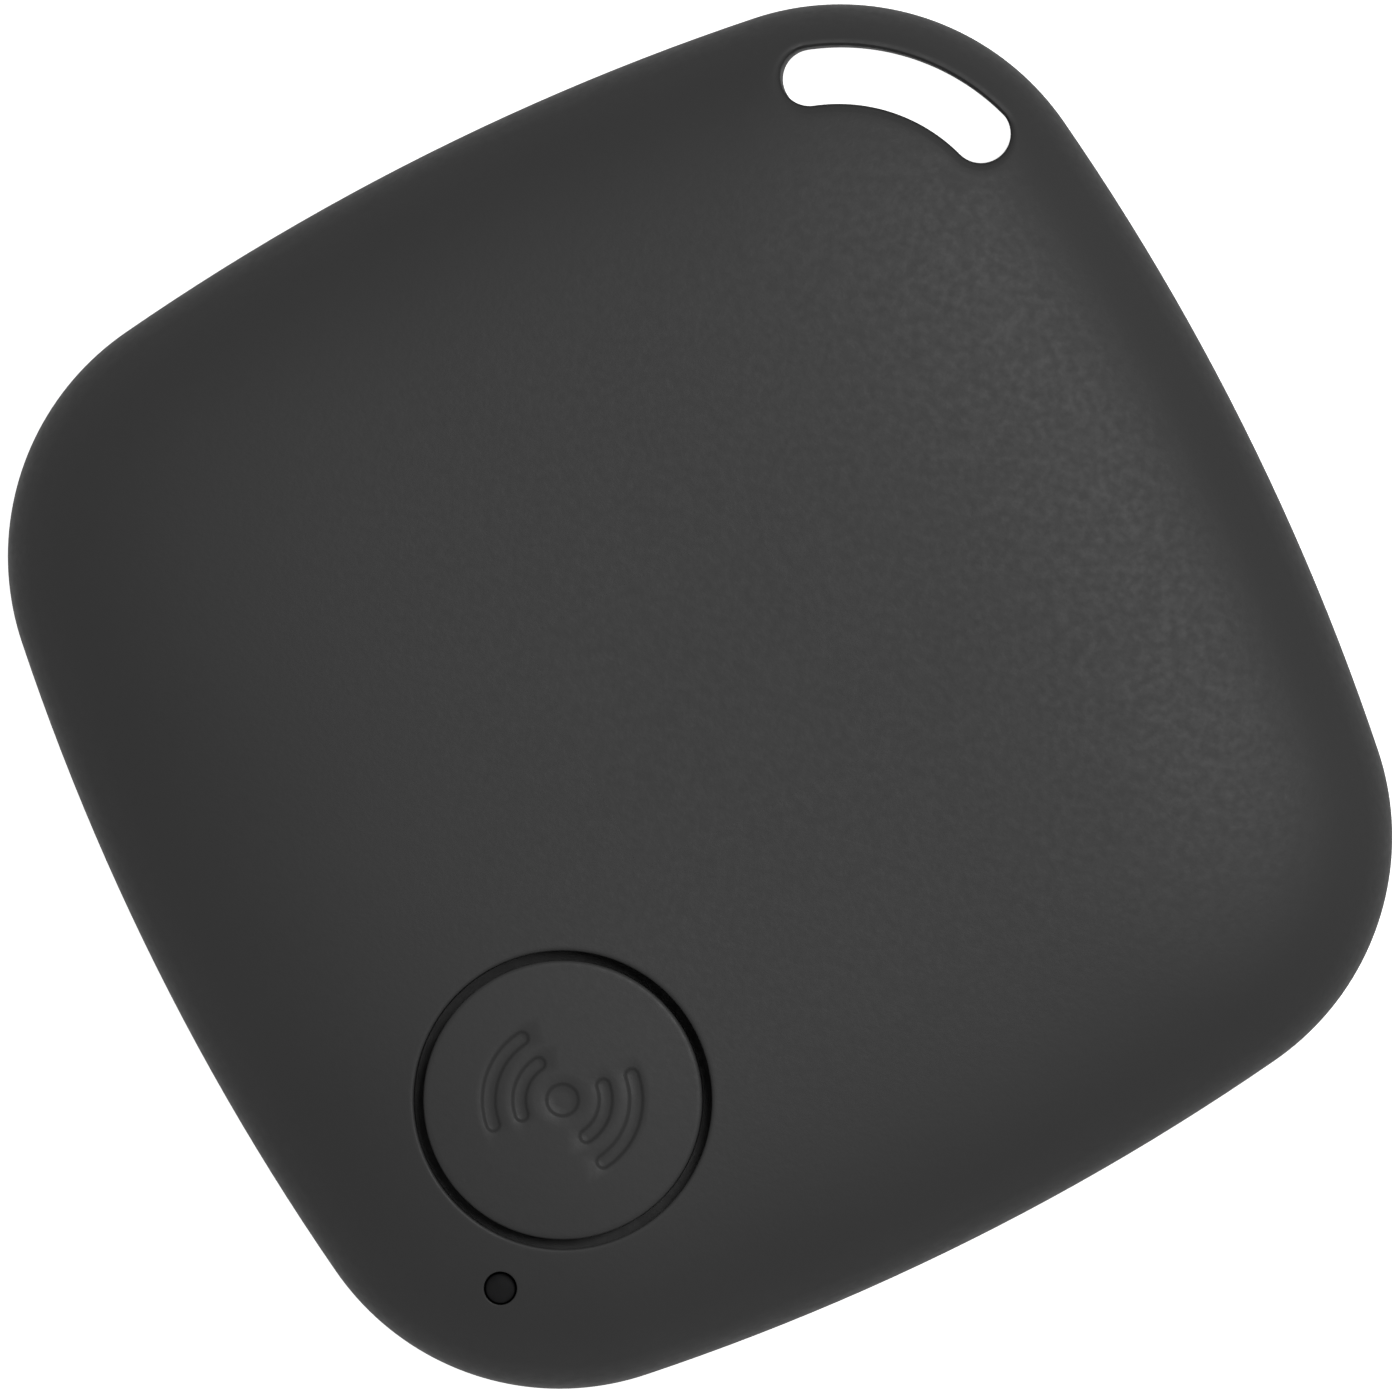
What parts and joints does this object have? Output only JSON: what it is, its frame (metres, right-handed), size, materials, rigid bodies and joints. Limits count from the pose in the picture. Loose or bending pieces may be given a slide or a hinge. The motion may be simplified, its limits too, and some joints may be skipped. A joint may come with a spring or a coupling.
{
  "type": "bluetooth tracker tag",
  "caption": "Pillow-shaped rounded-square tracker tag with a curved lanyard slot in one corner, a round push button, an indicator pinhole and a coin cell under a lift-off cover.",
  "frame": {"origin": "centre of the flat back face", "axes": "+Z out of the front face, +Y towards the slotted corner, +X across the corners"},
  "size_m": [0.0448, 0.0448, 0.0066],
  "materials": {
    "shell": "fine matte grain, dark grey",
    "button": "fine matte, dark grey, sunk locating mark",
    "light_pipe": "smoked acrylic",
    "board": "green solder mask",
    "spring": "nickel plated spring steel",
    "cell": "bright stainless sheet",
    "gasket": "polypropylene seal",
    "anode": "dull metal disc",
    "separator": "white non-woven film",
    "cathode": "pressed black powder",
    "plunger": "black nylon",
    "epoxy": "black epoxy",
    "ceramic": "fired ceramic with tinned ends",
    "led": "milky lens",
    "coil": "enamelled copper wire",
    "magnet": "ferrite",
    "foam": "dark closed-cell foam"
  },
  "bodies": {
    "case": {"rear_shell": "shell", "circuit_board": "board", "negative_contact": "spring", "positive_contact_left": "spring", "positive_contact_right": "spring", "battery_can": "cell", "battery_gasket": "gasket", "battery_cap": "cell", "battery_anode": "anode", "battery_separator": "separator", "battery_cathode": "cathode", "switch_base": "epoxy", "switch_lead_left": "spring", "switch_lead_right": "spring", "switch_dome": "spring", "switch_frame": "cell", "buzzer_base": "board", "buzzer_pole": "spring", "buzzer_coil": "coil", "buzzer_magnet": "magnet", "buzzer_diaphragm": "spring", "buzzer_case": "epoxy", "bluetooth_chip": "epoxy", "crystal": "cell", "driver_transistor": "epoxy", "flyback_diode": "epoxy", "led": "led", "resistor_1": "epoxy", "resistor_2": "epoxy", "resistor_3": "epoxy", "capacitor_1": "ceramic", "capacitor_2": "ceramic", "capacitor_3": "ceramic", "capacitor_4": "ceramic", "capacitor_5": "ceramic"},
    "cover": {"front_shell": "shell", "foam_pad": "foam", "light_pipe": "light_pipe"},
    "button": {"button_cap": "button"},
    "plunger": {"switch_plunger": "plunger"}
  },
  "joints": [
    {"name": "cover_lift", "type": "slide", "parent": "case", "child": "cover", "axis": [0, 0, 1], "range_m": [0, 0.012]},
    {"name": "button_press", "type": "slide", "parent": "cover", "child": "button", "axis": [0, 0, -1], "range_m": [0, 0.00025], "stiffness_N_per_m": 2000, "springref_m": -0.0005},
    {"name": "switch_travel", "type": "slide", "parent": "case", "child": "plunger", "axis": [0, 0, -1], "range_m": [0, 0.00025], "deforming": ["switch_dome"]}
  ],
  "couplings": [
    {"joint": "switch_travel", "follows": "button_press", "ratio": 1}
  ]
}
